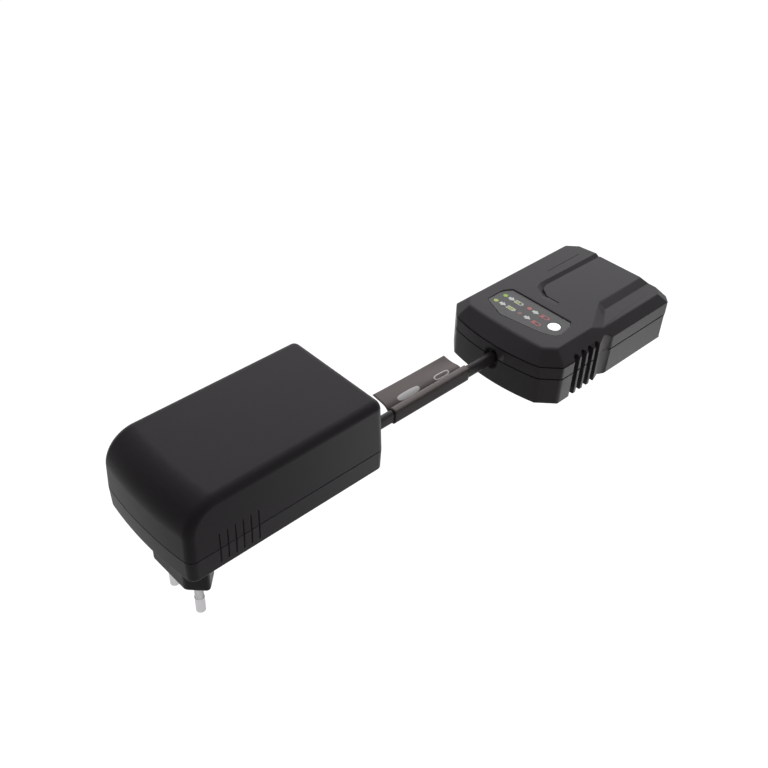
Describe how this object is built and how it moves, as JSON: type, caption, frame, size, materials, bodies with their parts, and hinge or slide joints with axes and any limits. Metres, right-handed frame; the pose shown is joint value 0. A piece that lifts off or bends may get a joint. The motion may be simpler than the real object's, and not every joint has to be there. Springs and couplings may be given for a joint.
{
  "type": "power tool battery charger",
  "caption": "Charger for a cordless tool's battery: a plug-in mains adapter, a short flat lead with a label, and a charging head with an indicator panel that slides onto the battery.",
  "frame": {"origin": "midway between the two pins, on the plug's engagement face", "axes": "+X from the adapter to the charging head, +Y to the left, +Z away from the socket, so the pins point to -Z"},
  "size_m": [0.2577, 0.0758, 0.0758],
  "materials": {
    "adapter_plastic": "fine matte texture",
    "head_plastic": "fine matte texture",
    "inner_plastic": "moulded",
    "pin_metal": "bright nickel plate",
    "sleeve_plastic": "smooth",
    "contact_metal": "tinned",
    "lead_jacket": "satin",
    "grommet_rubber": "matte",
    "label_film": "semi-gloss film",
    "overlay_film": "matte film",
    "lens_plastic": "polished, milky",
    "screw_steel": "zinc plated",
    "board_laminate": "solder mask",
    "wire_brown": "satin",
    "wire_blue": "satin",
    "wire_red": "satin",
    "wire_black": "satin",
    "fuse_body": "moulded",
    "disc_coating": "dipped lacquer",
    "box_plastic": "moulded",
    "ferrite": "sintered",
    "copper_wire": "enamelled",
    "chip_epoxy": "moulded",
    "can_sleeve": "shrunk sleeve",
    "sink_aluminium": "mill finish",
    "winding_tape": "tape",
    "led_resin": "moulded",
    "inductor_body": "pressed powder",
    "can_aluminium": "drawn"
  },
  "bodies": {
    "root": {"adapter_top_shell": "adapter_plastic", "adapter_base_shell": "adapter_plastic", "head_top_shell": "head_plastic", "head_base_shell": "head_plastic", "pin_carrier": "inner_plastic", "contact_carrier": "inner_plastic", "transformer_bobbin": "inner_plastic", "plug_pin_left": "pin_metal", "plug_pin_right": "pin_metal", "pin_sleeve_left": "sleeve_plastic", "pin_sleeve_right": "sleeve_plastic", "contact_blade_1": "contact_metal", "contact_blade_2": "contact_metal", "contact_blade_3": "contact_metal", "contact_blade_4": "contact_metal", "dc_lead": "lead_jacket", "adapter_grommet": "grommet_rubber", "head_gland": "grommet_rubber", "lead_label": "label_film", "indicator_overlay": "overlay_film", "indicator_lens": "lens_plastic", "head_screws": "screw_steel", "adapter_board": "board_laminate", "head_board": "board_laminate", "mains_wire_left": "wire_brown", "mains_wire_right": "wire_blue", "output_wire_positive": "wire_red", "head_wire_positive": "wire_red", "output_wire_negative": "wire_black", "head_wire_negative": "wire_black", "mains_fuse": "fuse_body", "surge_varistor": "disc_coating", "y_capacitor": "disc_coating", "x_capacitor": "box_plastic", "choke_core": "ferrite", "transformer_core": "ferrite", "choke_windings": "copper_wire", "bridge_rectifier": "chip_epoxy", "switching_transistor": "chip_epoxy", "output_rectifier": "chip_epoxy", "optocoupler": "chip_epoxy", "controller_chip": "chip_epoxy", "charge_controller": "chip_epoxy", "charge_transistor": "chip_epoxy", "sense_resistor": "chip_epoxy", "bulk_capacitor": "can_sleeve", "output_capacitor_1": "can_sleeve", "output_capacitor_2": "can_sleeve", "heat_sink": "sink_aluminium", "transformer_winding": "winding_tape", "indicator_led": "led_resin", "power_inductor": "inductor_body", "filter_capacitor": "can_aluminium"}
  },
  "joints": []
}
